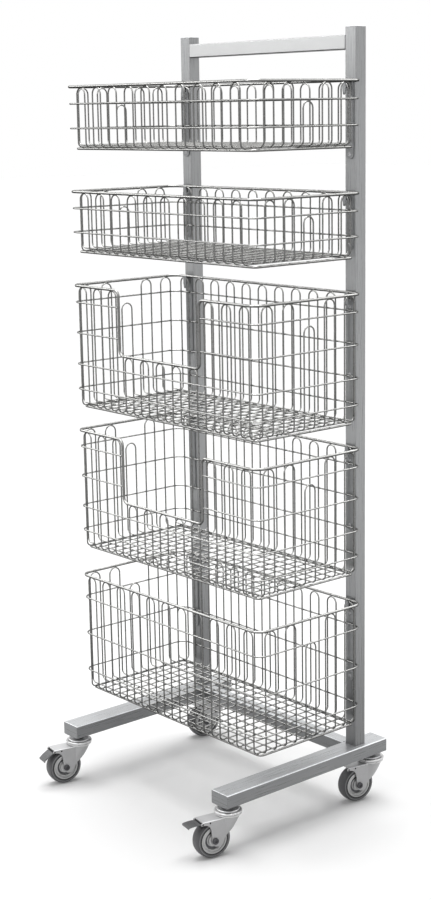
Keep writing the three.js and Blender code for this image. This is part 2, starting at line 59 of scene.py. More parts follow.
# A weld bead: its radius, the step between its humps and how much larger every second one is, how far it
# lies off the feet, how deep it lies beside the top bar, and how far it stops short of a corner
WELD_R, WELD_STEP, WELD_HUMP = 0.9, 2.2, 0.18
WELD_LIFT, WELD_TUCK, WELD_END = 0.2, 0.3, 2

# A bracket: a strip on the post, an arm that takes the basket's rim, and a tab between the loops. The gaps
# are the arm's to the rim above it, the step's behind the uprights and the tab's before them
BRACKET_LENGTHS = (158, 118, 184, 184, 184)
BRACKET_HALF, BRACKET_BACK, BRACKET_FACE, BRACKET_RISE = 10.5, -0.1, -2.6, 4
ARM_OFFSETS = (-5.2, -5.2, 1, 1, 1)
ARM_HALF, ARM_T, ARM_DROP = 5, 2.5, 13.5
TAB_T, TAB_DROP, TAB_TIP_R, TAB_BEVEL = 2, 25, 3.2, 1.5
SEAT_GAP, STEP_GAP, TAB_GAP = 0.6, 1.2, 0.4
EYE_R, EYE_T, EYE_SUNK = 1.5, 0.3, 0.1
# The head's profile as (radius, height) points
SCREW_HEAD = ((0, 0), (4.2, 0), (4.2, 0.5), (3.6, 1.1), (1.6, 1.5), (1.5, 0.9), (0, 0.9))
SCREW_DROP, SCREW_LIFT = 30, 0.05

# Baskets, top to bottom. front and side give a wall's number of loops and their width, half their pitch
RIMS = (1572.5, 1347.5, 1141.1, 813.3, 473.6)
BASKET_WIDTH, BASKET_DEPTH, RIM_CORNER = 611.6, 299.5, 24
RIM_Y = -6.2
BASKET_Y = RIM_Y - BASKET_DEPTH / 2
RIM_R, MID_R, BOTTOM_R, LEG_R = 3.0, 1.75, 2.6, 1.6
BOTTOM_INSET, LEG_BEND = 14.6, 9.5
ARCH_DROP, LEG_INSET = 3.0, 3.5
SHALLOW = dict(depth=132, mids=(36, 88.4), front=(10, 28.1), side=(5, 26.1), grip=40, cut=False)
DEEP = dict(depth=273, mids=(37, 105.5, 176, 232), front=(11, 27), side=(5, 28.7), grip=53, cut=True)
LOWEST = dict(DEEP, mids=(53.5, 139.7, 228.2), cut=False)
KINDS = (SHALLOW, SHALLOW, DEEP, DEEP, LOWEST)
CUT_DEPTH, CUT_WIDTH, CUT_CORNER = 142, 270, 13
WELD_BITE = 0.2

# Casters, in their own place: the swivel axis at 0 and the wheel behind it, towards minus Y
CASTER_Y = (("front", -359.2), ("rear", 63.2))
CASTER_TURN = math.radians(-11.5)
WHEEL_R, WHEEL_W, TYRE = 40, 28, 10
TRAIL, FORK_IN, FORK_T, FORK_TOP, FORK_END = 41, 15.6, 2.3, 86.5, 73
BOWL_R, BOWL_ROLL, BOWL_TOP, BOWL_DISH = 28.8, 1.8, 90.5, 0.8
# The head: its gap to the bowl, the race's and the disc's rolled edges and heights, the nut and the rivet
HEAD_GAP, RACE_R, RACE_ROLL, RACE_H, DISC_LOW, DISC_H, DISC_DISH = 0.3, 29.9, 2.6, 4.3, 4, 9, 0.8
NUT_R, NUT_SUNK, RIVET_R, RIVET_TIP_R, RIVET_NECK_R, RIVET_H = 11, 0.1, 8.8, 7.4, 5, 3
# The fork: the crease between a leg and the front wall, and the wall. Its middle moves back on its way down,
# by WALL_BOW of the way and the rest of the way's square, and its lower edge climbs by WALL_CLIMB
CREASE, WALL_TOP, WALL_LOW, WALL_BOW, WALL_CLIMB, WALL_ROUNDS = 17, 85, 46, 0.6, 0.7, 30
BOSS_FORWARD, BOSS_R = 6.5, 13.5
ROOF_BEND, ROOF_LAP, ROOF_FRONT = 2.2, 0.4, -4
# The outline of a leg as (y, z) points: under the crease, up behind the boss, and round the rear end
LEG_NECK = (-18.8, 41.5)
LEG_BACK = (
    (-48.2, 48), (-48.6, 56), (-49.2, 62), (-50.2, 67.5), (-52.6, 72.6), (-56, 76), (-60.5, 78.2), (-66, 79.2),
)
LEG_END = ((1.4, 79.5), (0.4, 80), (0, 81.2))
PIVOT_Y, PIVOT_Z = -69, 81.2
FLANGE_HOLES, HOLE_RISE, HOLE_R, HOLE_T, HOLE_LIFT = (-69, -52), 0.6, 2, 0.5, 0.08
# The tyre's profile: steps out from its seat, then steps in from the tread, with shares of its half width
TYRE_WALL = ((0, 0.84), (1.2, 0.93), (3.6, 0.95), (4.4, 0.9), (5.4, 0.91), (6.4, 0.985))
TYRE_TREAD = ((2.2, 0.86), (0.9, 0.7), (0.25, 0.45), (0, 0.2))
# The hub's profile: steps in from its rim, then radii of its boss, with shares of the same half width
HUB_FACE = (
    (0, 0.9), (0.8, 0.97), (3.6, 0.97), (4.4, 0.8), (5.6, 0.74), (7.2, 0.82), (9.4, 0.84), (10.4, 0.62),
    (12.2, 0.58),
)
HUB_BOSS = ((13.2, 0.66), (12.2, 0.96), (10.2, 1.0), (4.4, 1.0))
HUB_GAP = 0.05
# Thin rings on the side faces of a wheel: inner and outer radius, face and height. The groove's and the well's
# dark rings are painted shade, and the ridge's pale ring is a painted highlight
RIM_GROOVE, HUB_WELL, TYRE_RIDGE = (29.4, 31.2, 13.65, 1.2), (15, 19.2, 9.1, 0.8), (33.8, 35.6, 13.6, 1.2)
# The axle bolt: its head's profile as (radius, way out from the fork), and its shaft
BOLT_HEAD = (
    (0, -3), (6.6, -3), (6.6, 0), (7, 0.1), (7, 2.8), (6.3, 3.6), (3.9, 3.8), (3.4, 3.3), (3.2, 1.4),
    (0, 1.4),
)
BOLT_GAP, SHAFT_R = 0.2, 4
# The pedal: its plate, which droops and is crowned, its lip, and its ribs, placed by shares of its length
PEDAL_W, PEDAL_L, PEDAL_T = 29.6, 31, 2.2
PEDAL_DROOP, PEDAL_CROWN = math.tan(math.radians(2)), 1.1
LIP = ((-0.9, -1), (-0.9, -3), (1.1, -3))
PEDAL_RIBS, RIB_START_SHARE, RIB_PITCH_SHARE, RIB_INSET = 5, 0.38, 0.13, 1.5
RIB = ((0.9, -0.3), (0.5, 0.7), (-0.5, 0.7), (-0.9, -0.3))
BARREL_R, PIN_R, PIN_GAP = 2.2, 1.8, 0.3
# How far the fork's roof stays short of its end, and the pedal's plate of its pivot
SLOT = 3.2
# The shoe that presses on the tyre and the web that carries the pedal, with their shares of its width
SHOE, SHOE_SHARE = ((-1.9, 0), (-1.1, -9.1), (1.1, -9.1), (1.9, 0)), 0.7
WEB, WEB_SHARE = ((0, 0.2), (-SLOT - 0.4, 0.2), (-SLOT - 0.4, -0.9), (0, -0.9)), 0.95
BRAKE_TURN = math.radians(34)

# Softened edges of the plates: where an edge's middle step lies, as a share, the least slant of a mitred
# corner, and the edges of strips and tabs, arms, forks, pedals, shoes and thin parts
EDGE_SHARE, MITRE_LIMIT = 0.3, 0.4
STRIP_EDGE, ARM_EDGE, FORK_EDGE, PEDAL_EDGE, SHOE_EDGE, THIN_EDGE = 0.5, 0.4, 0.3, 0.4, 0.3, 0.2

# Facets of the round shapes, and the angles in degrees above which an edge stays sharp
TUBE_STEPS, BEND_STEPS, CORNER_STEPS, ARCH_STEPS, BOSS_STEPS = 6, 6, 8, 12, 22
STRIP_STEPS, TIP_STEPS, ROLL_STEPS, PEDAL_STEPS = 14, 12, 6, 12
BEAD_SIDES, WALL_ROWS, WALL_COLUMNS = 8, 12, 30
HEXAGON, TINY_ROUND, SMALL_ROUND, BOLT_ROUND, ROUND, TYRE_ROUND = 6, 16, 24, 36, 64, 72
SHARP, SHARP_HUB, SHARP_FORK, SHARP_SCREW, SHARP_WELD = 32, 25, 35, 45, 60

# Light and camera, in metres, watts and degrees. A lamp has its place, its aim, its sides, its power
SUN_POWER, SUN_ANGLE, SUN_TILT = 3.0, 50, (-6, -6, 0)
PANELS = {
    "left_panel": ((-2.9, -0.9, 2.6), (0, 0, 0.8), 0.9, 1.2, 13),
    "rear_panel": ((0.8, 2.6, 3.1), (0, 0, 0.8), 1.2, 1.2, 13),
    "key_panel": ((0.3, -2.4, 2.5), (0, 0, 1.6), 1.2, 1.0, 14),
    "front_panel": ((-2.2, -2.1, 2.3), (0, 0, 1.8), 0.6, 0.7, 9),
}
# The middle range of a noise, which a finish is spread over, and the heights between which the painted shade
# near the floor fades out
NOISE_SPAN, LOW_SHADE_SPAN = (0.3, 0.7), (0.08, 0.75)
FILL_LIGHT, FLOOR_HALF, FLOOR_TONE, FLOOR_GLOW = 0.22, 30.0, 0.8, 0.1
# The camera stands CAMERA_AT from the middle between the fronts of the posts
CAMERA_AT = (2.6907, -2.4332, 1.5198)
CAMERA_TURN, CAMERA_LENS, CAMERA_SENSOR, CAMERA_CLIP = (49.72, 11.72, -0.98), 65.69, 36, (0.1, 60)


# Materials

def math_node(nodes, links, operation, *values):
    """The outcome of a sum whose values are sockets or numbers."""
    node = nodes.new("ShaderNodeMath")
    node.operation = operation
    for target, value in zip(node.inputs, values):
        if isinstance(value, bpy.types.NodeSocket):
            links.new(value, target)
        else:
            target.default_value = value
    return node.outputs[0]


def material(name, base, metallic, roughness, grain, bump, spread=0.08, coat=0.0, low_shade=None, edge=None,
             top=None, rim=None, under=1.0):
    """A procedural finish. grain scales the noise along x, y and z, so a long grain reads as brushing.
    dull gives the darker tone near the floor, a painted shade. edge is the tone of the
    metal at a grazing angle. top is the paler tone of the faces that look up, a painted highlight, and rim the
    bright tone of the rounded edges beside them, a painted highlight too. Without rim the tone rises evenly
    towards the top.
    under is the darker tone of what faces down."""
    mat = bpy.data.materials.new(name)
    mat.use_nodes = True
    nodes, links = mat.node_tree.nodes, mat.node_tree.links
    shader = nodes["Principled BSDF"]
    shader.inputs["Metallic"].default_value = metallic
    shader.inputs["Coat Weight"].default_value = coat
    if edge is not None:
        shader.inputs["Specular Tint"].default_value = (edge, edge, edge, 1)
    where = nodes.new("ShaderNodeTexCoord")
    scale = nodes.new("ShaderNodeMapping")
    scale.inputs["Scale"].default_value = grain
    links.new(where.outputs["Object"], scale.inputs["Vector"])

    def noise(vector, size, detail):
        node = nodes.new("ShaderNodeTexNoise")
        node.inputs["Scale"].default_value = size
        node.inputs["Detail"].default_value = detail
        links.new(vector, node.inputs["Vector"])
        return node.outputs["Fac"]

    def ramp(value, span, low, high, smooth=False):
        node = nodes.new("ShaderNodeMapRange")
        if smooth:
            node.interpolation_type = "SMOOTHSTEP"
        for key, number in (("From Min", span[0]), ("From Max", span[1]), ("To Min", low), ("To Max", high)):
            node.inputs[key].default_value = number
        links.new(value, node.inputs["Value"])
        return node.outputs[0]

    def height_of(vector):
        node = nodes.new("ShaderNodeSeparateXYZ")
        links.new(vector, node.inputs["Vector"])
        return node.outputs["Z"]

    fine = noise(scale.outputs["Vector"], 1.0, 6.0)
    broad = noise(where.outputs["Object"], 7.0, 3.0)
    tone = nodes.new("ShaderNodeHueSaturation")
    tone.inputs["Color"].default_value = (*base, 1)
    tones = [ramp(each, NOISE_SPAN, 1 - spread, 1 + spread) for each in (fine, broad)]
    value = math_node(nodes, links, "MULTIPLY", *tones)
    # painted shade: the tone darkens towards the floor
    if low_shade is not None:
        painted_low_shade = ramp(height_of(where.outputs["Object"]), LOW_SHADE_SPAN, low_shade, 1.0, smooth=True)
        value = math_node(nodes, links, "MULTIPLY", value, painted_low_shade)
    links.new(value, tone.inputs["Value"])
    colour = tone.outputs["Color"]
    # painted light and shade by which way a face looks
    if top is not None:
        facing = nodes.new("ShaderNodeNewGeometry").outputs["True Normal"]
        painted_light_bands = nodes.new("ShaderNodeValToRGB")
        # places from 0, which looks down, to 1, which looks up: painted shade on what looks down, painted
        # highlight on what looks up and on the rounded edges
        steps = [(0.35, under), (0.5, 1.0), (1.0, top)]
        if rim is not None:
            painted_light_bands.color_ramp.interpolation = "CONSTANT"
            steps = [(0, under), (0.35, 1.0), (0.65, rim), (0.99, top)]
        while len(painted_light_bands.color_ramp.elements) < len(steps):
            painted_light_bands.color_ramp.elements.new(0.5)
        for element, (position, shade) in zip(painted_light_bands.color_ramp.elements, steps):
            element.position = position
            element.color = (shade, shade, shade, 1)
        links.new(math_node(nodes, links, "MULTIPLY_ADD", height_of(facing), 0.5, 0.5), painted_light_bands.inputs["Fac"])
        painted_light_tone = nodes.new("ShaderNodeVectorMath")
        painted_light_tone.operation = "MULTIPLY"
        links.new(colour, painted_light_tone.inputs[0])
        links.new(painted_light_bands.outputs["Color"], painted_light_tone.inputs[1])
        colour = painted_light_tone.outputs["Vector"]
    links.new(colour, shader.inputs["Base Color"])
    links.new(ramp(fine, NOISE_SPAN, roughness - 0.05, roughness + 0.07), shader.inputs["Roughness"])
    relief = nodes.new("ShaderNodeBump")
    relief.inputs["Strength"].default_value = bump
    relief.inputs["Distance"].default_value = 0.0002
    links.new(fine, relief.inputs["Height"])
    links.new(relief.outputs["Normal"], shader.inputs["Normal"])
    return mat


def even(grain):
    """The grain of a finish that isn't brushed."""
    return (grain, grain, grain)


# The grain runs along the axis that the finish is named after. LOW_STEEL is the tone of feet, rail and caps.
# The top bar's pale base, the posts' middle one and the low parts' dark one are lit and shaded copies of one
# steel: painted light and shade. top and rim paint highlights on tops and rounded edges, under paints shade
# on the top bar's underside, and dull darkens the posts towards the floor, painted shade.
LOW_STEEL = dict(
    base=(0.24, 0.245, 0.25), metallic=0.4, roughness=0.3, bump=0.1, spread=0.04, top=2.3, rim=3.9,
)
BRUSHED = {
    "x": material(
        "brushed_x", (0.5, 0.505, 0.505), 0.7, 0.4, (12, 900, 900), 0.05,
        spread=0.02, top=1.0, rim=1.2, under=0.1,
    ),
    "y": material("brushed_y", grain=(900, 12, 900), **LOW_STEEL),
    "z": material("brushed_z", (0.36, 0.365, 0.37), 0.5, 0.3, (900, 900, 12), 0.1, spread=0.04, low_shade=0.55),
    "low x": material("brushed_low_x", grain=(12, 900, 900), **LOW_STEEL),
}
# top paints a highlight on what faces up, under paints shade on what faces down, and dull darkens the lower
# baskets, painted shade
WIRE = material(
    "bright_wire", (0.19, 0.19, 0.186), 1.0, 0.26, even(60), 0.1, low_shade=0.7, edge=0.045, top=4.6, under=0.55,
)
# top and rim paint highlights on the fork's top plates and rounded bends
ZINC = material("zinc_plate", (0.45, 0.45, 0.455), 0.4, 0.35, even(60), 0.02, spread=0.03, top=1.4, rim=2.0)
RACE = material("zinc_race", (0.62, 0.62, 0.62), 0.8, 0.3, even(60), 0.02, spread=0.03)
STRIP = material("bracket_steel", (0.27, 0.275, 0.28), 0.6, 0.4, (600, 600, 20), 0.2)
SCREW = material("screw_steel", (0.40, 0.40, 0.41), 0.9, 0.35, even(400), 0.2)
# a black that paints shade: in holes, in the groove at the tyre's seat and in the pedal's slot
PAINTED_SHADE = material("hole_shadow", (0.02, 0.02, 0.02), 0.0, 0.8, even(200), 0.1)
BOLT = material("dark_bolt", (0.085, 0.085, 0.09), 0.8, 0.38, even(500), 0.2)
HUB = material("grey_hub", (0.5, 0.5, 0.5), 0.45, 0.34, even(500), 0.15, spread=0.05, coat=0.2)
# a pale rubber that paints a highlight on the tyre's ridge
RIDGE_HIGHLIGHT = material("tyre_ridge_highlight", (0.27, 0.27, 0.275), 0.0, 0.6, even(700), 0.3)
TYRE_RUBBER = material("grey_rubber", (0.115, 0.115, 0.12), 0.0, 0.55, even(700), 0.5)
PEDAL = material("pedal_steel", (0.145, 0.147, 0.15), 0.7, 0.4, even(60), 0.02, spread=0.04)
WELD = material("weld_bead", (0.36, 0.36, 0.37), 0.8, 0.45, even(300), 0.8, spread=0.15)


# Building in millimetres, in the part's coordinates

ALONG_X = Matrix.Rotation(math.radians(90), 4, "Y")


def frame_point(p):
    return Vector((p[0] * MM, (p[1] + FRONT_Y) * MM, p[2] * MM))


def settle(obj, mat, body, nodes=(), smooth=SHARP):
    """Gives an object its finish, body and the nodes that it stands for."""
    obj.data.materials.append(mat)
    if obj.type == "MESH":
        obj.data.polygons.foreach_set("use_smooth", [True] * len(obj.data.polygons))
        obj.data.set_sharp_from_angle(angle=math.radians(smooth))
        weighted = obj.modifiers.new("flat faces stay flat", "WEIGHTED_NORMAL")
        weighted.keep_sharp = True
    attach(obj, body)
    if nodes:
        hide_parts(*nodes)
    return obj


def link(name, data):
    obj = bpy.data.objects.new(name, data)
    bpy.context.scene.collection.objects.link(obj)
    return obj


def piece(name, shells, mat, body, nodes=(), move=None, smooth=SHARP):
    """One mesh from shells of (points, faces) in millimetres. move is a 4x4 in the part's coordinates."""
    bm = bmesh.new()
    for points, faces in shells:
        verts = []
        for p in points:
            at = Vector(p)
            if move is not None:
                at = move @ at
            verts.append(bm.verts.new(frame_point(at)))
        for f in faces:
            bm.faces.new([verts[i] for i in f])
    bmesh.ops.recalc_face_normals(bm, faces=bm.faces)
    data = bpy.data.meshes.new(name)
    bm.to_mesh(data)
    bm.free()
    return settle(link(name, data), mat, body, nodes, smooth)


def arc(cx, cy, radius, start, end, steps):
    return [
        (
            cx + radius * math.cos(math.radians(start + (end - start) * i / steps)),
            cy + radius * math.sin(math.radians(start + (end - start) * i / steps)),
        )
        for i in range(steps + 1)
    ]


def rounded(width, depth, corner):
    x, y = width / 2 - corner, depth / 2 - corner
    corners = ((x, -y, -90), (x, y, 0), (-x, y, 90), (-x, -y, 180))
    return [p for cx, cy, start in corners for p in arc(cx, cy, corner, start, start + 90, TUBE_STEPS)]


def sideways(u, v, w):
    """Places an outline of (y, z) points with its thickness along x."""
    return (w, u, v)


def lengthways(u, v, w):
    """Places an outline of (x, z) points with its thickness along y."""
    return (u, w, v)


def loft(rings):
    """Faces between rings of equal length, with flat ends."""
    count = len(rings[0])
    points = [p for ring in rings for p in ring]
    faces = []
    for r in range(len(rings) - 1):
        for i in range(count):
            j = (i + 1) % count
            a, b = r * count, (r + 1) * count
            faces.append((a + i, a + j, b + j, b + i))
    faces.append(tuple(reversed(range(count))))
    faces.append(tuple(range(len(points) - count, len(points))))
    return points, faces


def bar(width, depth, length, end_edge=0.0):
    """A bar along Z from 0 to its length, with rounded long corners and, where asked, a rounded far end."""
    def ring_at(inset, z):
        corner = max(TUBE_CORNER - inset, LEAST_CORNER)
        return [(x, y, z) for x, y in rounded(width - 2 * inset, depth - 2 * inset, corner)]

    rings = [ring_at(0, 0)]
    for turn in (math.pi / 2, 1.05, 0.5, 0) if end_edge else (math.pi / 2,):
        rings.append(ring_at(end_edge * (1 - math.sin(turn)), length - end_edge * (1 - math.cos(turn))))
    return loft(rings)


def lathe(profile, segments):
    """A closed turning about Z of a closed (radius, z) profile that may touch the axis."""
    points, faces, rows = [], [], []
    for r, z in profile:
        if r < 1e-6:
            rows.append([len(points)])
            points.append((0, 0, z))
        else:
            rows.append(list(range(len(points), len(points) + segments)))
            turns = [2 * math.pi * i / segments for i in range(segments)]
            points += [(r * math.cos(turn), r * math.sin(turn), z) for turn in turns]
    for a, b in zip(rows, rows[1:] + rows[:1]):
        if len(a) == 1 and len(b) == 1:
            continue
        for i in range(segments):
            j = (i + 1) % segments
            if len(a) == 1:
                faces.append((a[0], b[j], b[i]))
            elif len(b) == 1:
                faces.append((a[i], a[j], b[0]))
            else:
                faces.append((a[i], a[j], b[j], b[i]))
    return points, faces


def plate(outline, low, high, edge, to_space):
    """An outline made into a plate with softened edges; to_space turns (u, v, height) into x, y, z."""
    def inset(distance):
        made = []
        n = len(outline)
        for i in range(n):
            a, b, c = (Vector(outline[k % n]) for k in (i - 1, i, i + 1))
            d1, d2 = (b - a).normalized(), (c - b).normalized()
            n1, n2 = Vector((-d1.y, d1.x)), Vector((-d2.y, d2.x))
            m = (n1 + n2).normalized()
            made.append(b + m * (distance / max(m.dot(n1), MITRE_LIMIT)))
        return made

    area = sum(
        a[0] * b[1] - b[0] * a[1] for a, b in zip(outline, outline[1:] + outline[:1])
    )
    if area < 0:
        outline = outline[::-1]
    steps = ((edge, 0), (edge * EDGE_SHARE, edge * EDGE_SHARE), (0, edge))
    rings = []
    for distance, up in steps:
        rings.append([to_space(p.x, p.y, low + up) for p in inset(distance)])
    for distance, up in reversed(steps):
        rings.append([to_space(p.x, p.y, high - up) for p in inset(distance)])
    return loft(rings)


def moved(shell, matrix):
    points, faces = shell
    return [tuple(matrix @ Vector(p)) for p in points], faces


def wires(name, runs, mat, body, nodes):
    """Round wires along runs of (points, radius, closed), as one curve."""
    data = bpy.data.curves.new(name, "CURVE")
    data.dimensions = "3D"
    data.bevel_depth = MM
    data.bevel_resolution = 2
    data.use_fill_caps = True
    for points, radius, closed in runs:
        spline = data.splines.new("POLY")
        spline.points.add(len(points) - 1)
        for target, p in zip(spline.points, points):
            target.co = (*frame_point(p), 1)
            target.radius = radius
        spline.use_cyclic_u = closed
        spline.use_smooth = True
    return settle(link(name, data), mat, body, nodes)


# Posts, feet, rail and top bar

def build_frame():
    length = RACK_HEIGHT - CAP - FOOT_TOP
    foot_length = FOOT_BACK - FOOT_FRONT - 2 * CAP
    middle = FOOT_TOP - FOOT_HEIGHT / 2
    back_turn = Matrix.Rotation(math.radians(-90), 4, "X")
    front_turn = Matrix.Rotation(math.radians(90), 4, "X")
    for side, sign in SIDES:
        x = sign * POST_X
        piece(
            f"post_{side}_tube", [bar(POST_WIDTH, POST_DEPTH, length)],
            BRUSHED["z"], "frame", [f"post_{side}"],
            Matrix.Translation((x, POST_DEPTH / 2, FOOT_TOP)),
        )
        piece(
            f"post_{side}_cap", [bar(POST_WIDTH, POST_DEPTH, CAP, POST_CAP_EDGE)],
            BRUSHED["y"], "frame", [f"post_cap_{side}"],
            Matrix.Translation((x, POST_DEPTH / 2, RACK_HEIGHT - CAP)),
        )
        piece(
            f"foot_{side}_tube", [bar(FOOT_WIDTH, FOOT_HEIGHT, foot_length)],
            BRUSHED["y"], "frame", [f"foot_{side}"],
            Matrix.Translation((x, FOOT_FRONT + CAP, middle)) @ back_turn,
        )
        for end, y, turn in (
            ("front", FOOT_FRONT + CAP, front_turn),
            ("rear", FOOT_BACK - CAP, back_turn),
        ):
            piece(
                f"foot_{side}_{end}_cap", [bar(FOOT_WIDTH, FOOT_HEIGHT, CAP, FOOT_CAP_EDGE)],
                BRUSHED["low x"], "frame", [f"foot_cap_{end}_{side}"],
                Matrix.Translation((x, y, middle)) @ turn,
            )
    for node, length, height, z, finish in (
        ("base_rail", 2 * POST_X - FOOT_WIDTH, FOOT_HEIGHT, middle, "low x"),
        ("top_bar", 2 * POST_X - POST_WIDTH, BAR_HEIGHT, BAR_MIDDLE, "x"),
    ):
        piece(
            f"{node}_tube", [bar(height, POST_DEPTH, length)],
            BRUSHED[finish], "frame", [node],
            Matrix.Translation((-length / 2, POST_DEPTH / 2, z)) @ ALONG_X,
        )
    build_welds(middle)


def bead(path):
    """A weld bead: a run of overlapping humps along the path's points."""
    rings, dense = [], []
    for a, b in zip(path, path[1:]):
        a, b = Vector(a), Vector(b)
        steps = max(2, int((b - a).length / WELD_STEP))
        dense += [(a.lerp(b, i / steps), (b - a).normalized()) for i in range(steps)]
    dense.append((Vector(path[-1]), (Vector(path[-1]) - Vector(path[-2])).normalized()))
    turns = [2 * math.pi * k / BEAD_SIDES for k in range(BEAD_SIDES)]
    for i, (p, along) in enumerate(dense):
        side = along.cross(Vector((0, 0, 1))) if abs(along.z) < 0.9 else Vector((1, 0, 0))
        side.normalize()
        up = side.cross(along)
        r = WELD_R * (1.0 + WELD_HUMP * (i % 2))
        rings.append([tuple(p + side * r * math.cos(a) + up * r * math.sin(a)) for a in turns])
    return loft(rings)


def build_welds(middle):
    for side, sign in SIDES:
        x, w, d = sign * POST_X, POST_WIDTH / 2, POST_DEPTH
        z = FOOT_TOP + WELD_LIFT
        around = [(x - w, 0, z), (x + w, 0, z), (x + w, d, z), (x - w, d, z), (x - w, 0, z)]
        inner = x - sign * FOOT_WIDTH / 2
        low, high = middle - FOOT_HEIGHT / 2 + WELD_END, middle + FOOT_HEIGHT / 2 - WELD_END
        rails = [[(inner, y, low), (inner, y, high)] for y in (-WELD_LIFT, d + WELD_LIFT)]
        joint = x - sign * w
        low, high = BAR_MIDDLE - BAR_HEIGHT / 2 + WELD_END, BAR_MIDDLE + BAR_HEIGHT / 2 - WELD_END
        bars = [[(joint, y, low), (joint, y, high)] for y in (WELD_TUCK, d - WELD_TUCK)]
        piece(
            f"welds_{side}", [bead(path) for path in (around, *rails, *bars)],
            WELD, "frame", smooth=SHARP_WELD,
        )


# Brackets

def build_bracket(level, side, sign):
    name = f"bracket_{level + 1}_{side}"
    x, rim, half = sign * POST_X, RIMS[level], BRACKET_HALF
    low = rim - BRACKET_LENGTHS[level]
    foot = arc(x, low + half, half, 180, 360, STRIP_STEPS)
    head = [(x + half, rim + BRACKET_RISE), (x - half, rim + BRACKET_RISE)]
    strip = plate(foot + head, BRACKET_FACE, BRACKET_BACK, STRIP_EDGE, lengthways)
    arm_x = x + sign * ARM_OFFSETS[level]
    seat, step, tip = rim - RIM_R - SEAT_GAP, rim - ARM_DROP, rim - TAB_DROP
    step_y, tab_y = RIM_Y - LEG_INSET + LEG_R + STEP_GAP, RIM_Y - LEG_INSET - LEG_R - TAB_GAP
    arm = plate(
        [(BRACKET_FACE, seat), (step_y, seat), (step_y, step), (tab_y, step),
         (tab_y, step - ARM_T), (BRACKET_FACE, step - ARM_T)],
        arm_x - ARM_HALF, arm_x + ARM_HALF, ARM_EDGE, sideways,
    )
    right = [(ARM_HALF, step - ARM_T), (ARM_HALF, rim - TAB_BEVEL), (ARM_HALF - TAB_BEVEL, rim)]
    outline = arc(arm_x, tip, TAB_TIP_R, 180, 360, TIP_STEPS) + [(arm_x + u, z) for u, z in right]
    outline += [(arm_x - u, z) for u, z in reversed(right)]
    tab = plate(outline, tab_y - TAB_T, tab_y, STRIP_EDGE, lengthways)
    piece(f"{name}_plate", [strip, arm, tab], STRIP, "frame", [name])
    turn = Matrix.Rotation(math.radians(90), 4, "X")
    # the eye is a dark disc on the tab: painted shade for the hole through it
    eye_hole_shade = lathe([(0, 0), (EYE_R, 0), (EYE_R, EYE_T), (0, EYE_T)], TINY_ROUND)
    piece(
        f"{name}_eye", [eye_hole_shade], BOLT, "frame", [],
        Matrix.Translation((arm_x, tab_y - TAB_T + EYE_SUNK, tip)) @ turn,
    )
    for k, z in enumerate((low + half, rim - SCREW_DROP)):
        piece(
            f"{name}_screw_{k + 1}", [lathe(SCREW_HEAD, SMALL_ROUND)], SCREW, "frame", [],
            Matrix.Translation((x, BRACKET_FACE + SCREW_LIFT, z)) @ turn, SHARP_SCREW,
        )


# Baskets

def corner_arcs(inset):
    corner = RIM_CORNER - inset
    hx, hy = BASKET_WIDTH / 2 - RIM_CORNER, BASKET_DEPTH / 2 - RIM_CORNER
    return [
        arc(cx, cy, corner, a, a + 90, CORNER_STEPS)
        for cx, cy, a in ((-hx, -hy, 180), (hx, -hy, 270), (hx, hy, 0), (-hx, hy, 90))
    ]


def ring(inset, z, radius, cut_rim=None):
    """A level wire round the basket. At a cut-out the rim dips and the rings beside it stop short."""
    first, *others = corner_arcs(inset)
    flat = [(x, y, z) for x, y in first]
    rest = [(x, y, z) for part in others for x, y in part]
    if cut_rim is None:
        return flat + rest, radius, True
    if z == cut_rim:
        left, low = -CUT_WIDTH / 2, z - CUT_DEPTH
        half = arc(left - CUT_CORNER, z - CUT_CORNER, CUT_CORNER, 90, 0, CORNER_STEPS)
        half += arc(left + CUT_CORNER, low + CUT_CORNER, CUT_CORNER, 180, 270, CORNER_STEPS)
        dip = half + [(-x, h) for x, h in reversed(half)]
        y = -BASKET_DEPTH / 2
        return flat + [(x, y, h) for x, h in dip] + rest, radius, True
    y = -BASKET_DEPTH / 2 + inset
    ends = CUT_WIDTH / 2
    return [(ends, y, z)] + rest + flat + [(-ends, y, z)], radius, False


def hairpin(middle, gap, reach, floor, top_a, top_b, place):
    """Up one wall, back down, across the floor, up the other wall and back: one closed wire."""
    half, bend = gap / 2, LEG_BEND
    inner, level = reach - bend, floor + bend
    path = [(middle + u, -reach, top_a - half + z) for u, z in arc(0, 0, half, 180, 0, ARCH_STEPS)]
    path += [(middle + half, -inner + s, level + z) for s, z in arc(0, 0, bend, 180, 270, BEND_STEPS)]
    path += [(middle + half, inner + s, level + z) for s, z in arc(0, 0, bend, 270, 360, BEND_STEPS)]
    path += [(middle + u, reach, top_b - half + z) for u, z in arc(0, 0, half, 0, 180, ARCH_STEPS)]
    path += [(middle - half, inner + s, level + z) for s, z in arc(0, 0, bend, 360, 270, BEND_STEPS)]
    path += [(middle - half, -inner + s, level + z) for s, z in arc(0, 0, bend, 270, 180, BEND_STEPS)]
    return [place(*p) for p in path], LEG_R, True


